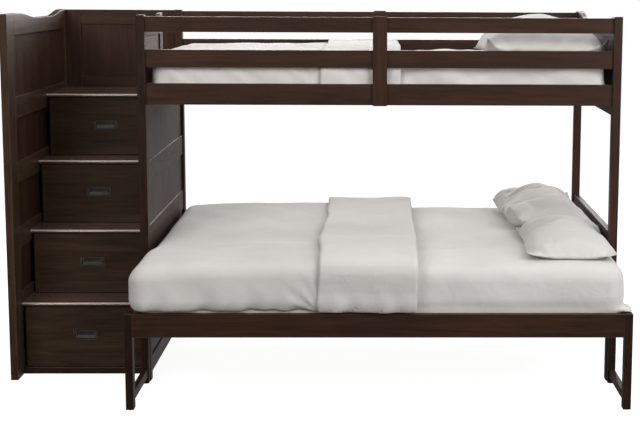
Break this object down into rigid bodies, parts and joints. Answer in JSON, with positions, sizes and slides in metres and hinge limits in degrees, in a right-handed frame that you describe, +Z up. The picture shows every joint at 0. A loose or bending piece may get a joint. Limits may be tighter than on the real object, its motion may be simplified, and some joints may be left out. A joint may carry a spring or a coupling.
{
  "type": "staircase bunk bed",
  "caption": "Bunk bed, a narrow bunk over a wider one, with guard rails and an end staircase whose steps are topped drawers with hinged bail pulls; made up with mattresses, duvets and pillows.",
  "frame": {"origin": "middle of the whole footprint, on the floor", "axes": "+X along the bed, from the staircase to the head end; -Y towards the front, where the drawers open; +Z up"},
  "size_m": [2.588, 1.455, 1.562],
  "materials": {
    "espresso_wood": "satin espresso stain with faint grain",
    "pale_wood": "bare sealed pine and birch ply",
    "pewter": "dark antiqued pewter",
    "zinc": "zinc plated",
    "nylon": "black nylon",
    "ticking": "woven cotton sheet over the mattress",
    "linen": "soft plain-weave cotton"
  },
  "bodies": {
    "bed_frame": {"post_front_left": "espresso_wood", "post_front_right": "espresso_wood", "post_rear_left": "espresso_wood", "post_rear_right": "espresso_wood", "upper_side_rail_front": "espresso_wood", "upper_side_rail_rear": "espresso_wood", "guard_rails_front": "espresso_wood", "guard_rails_rear": "espresso_wood", "guard_stiles": "espresso_wood", "right_end_rails": "espresso_wood", "right_end_panel": "espresso_wood", "lower_headboard": "espresso_wood", "left_end_rails": "espresso_wood", "left_end_panels": "espresso_wood", "entry_guard_frame": "espresso_wood", "entry_guard_panel": "espresso_wood", "slat_cleats": "pale_wood", "upper_slats": "pale_wood", "lower_slats": "pale_wood", "lower_side_rail_front": "espresso_wood", "lower_side_rail_rear": "espresso_wood", "extension_legs": "espresso_wood", "extension_rails": "espresso_wood", "lower_cross_rails": "pale_wood", "stair_side_frame": "espresso_wood", "stair_side_panels": "espresso_wood", "stair_back_frame": "espresso_wood", "stair_back_panels": "espresso_wood", "stair_carcass_boards": "espresso_wood", "stair_base": "espresso_wood", "stair_tread_1": "espresso_wood", "stair_tread_2": "espresso_wood", "stair_tread_3": "espresso_wood", "stair_landing": "espresso_wood", "drawer_runners": "pale_wood", "bed_bolts": "zinc", "foot_glides": "nylon", "upper_mattress": "ticking", "upper_duvet": "linen", "upper_pillow": "linen", "lower_mattress": "ticking", "lower_duvet": "linen", "lower_pillow_front": "linen", "lower_pillow_rear": "linen"},
    "drawer_1": {"drawer_1_front": "espresso_wood", "drawer_1_box": "pale_wood", "drawer_1_pull_plate": "pewter"},
    "bail_1": {"drawer_1_bail": "pewter"},
    "drawer_2": {"drawer_2_front": "espresso_wood", "drawer_2_box": "pale_wood", "drawer_2_pull_plate": "pewter"},
    "bail_2": {"drawer_2_bail": "pewter"},
    "drawer_3": {"drawer_3_front": "espresso_wood", "drawer_3_box": "pale_wood", "drawer_3_pull_plate": "pewter"},
    "bail_3": {"drawer_3_bail": "pewter"},
    "drawer_4": {"drawer_4_front": "espresso_wood", "drawer_4_box": "pale_wood", "drawer_4_pull_plate": "pewter"},
    "bail_4": {"drawer_4_bail": "pewter"}
  },
  "joints": [
    {"name": "drawer_1_slide", "type": "slide", "parent": "bed_frame", "child": "drawer_1", "axis": [0, -1, 0], "range_m": [0, 0.28]},
    {"name": "bail_1_hinge", "type": "hinge", "parent": "drawer_1", "child": "bail_1", "pos_m": [-0.994, -0.2239, 0.18025], "axis": [-1, 0, 0], "range_deg": [0, 95]},
    {"name": "drawer_2_slide", "type": "slide", "parent": "bed_frame", "child": "drawer_2", "axis": [0, -1, 0], "range_m": [0, 0.28]},
    {"name": "bail_2_hinge", "type": "hinge", "parent": "drawer_2", "child": "bail_2", "pos_m": [-0.994, -0.0519, 0.46775], "axis": [-1, 0, 0], "range_deg": [0, 95]},
    {"name": "drawer_3_slide", "type": "slide", "parent": "bed_frame", "child": "drawer_3", "axis": [0, -1, 0], "range_m": [0, 0.28]},
    {"name": "bail_3_hinge", "type": "hinge", "parent": "drawer_3", "child": "bail_3", "pos_m": [-0.994, 0.1201, 0.75525], "axis": [-1, 0, 0], "range_deg": [0, 95]},
    {"name": "drawer_4_slide", "type": "slide", "parent": "bed_frame", "child": "drawer_4", "axis": [0, -1, 0], "range_m": [0, 0.28]},
    {"name": "bail_4_hinge", "type": "hinge", "parent": "drawer_4", "child": "bail_4", "pos_m": [-0.994, 0.2921, 1.04275], "axis": [-1, 0, 0], "range_deg": [0, 95]}
  ]
}
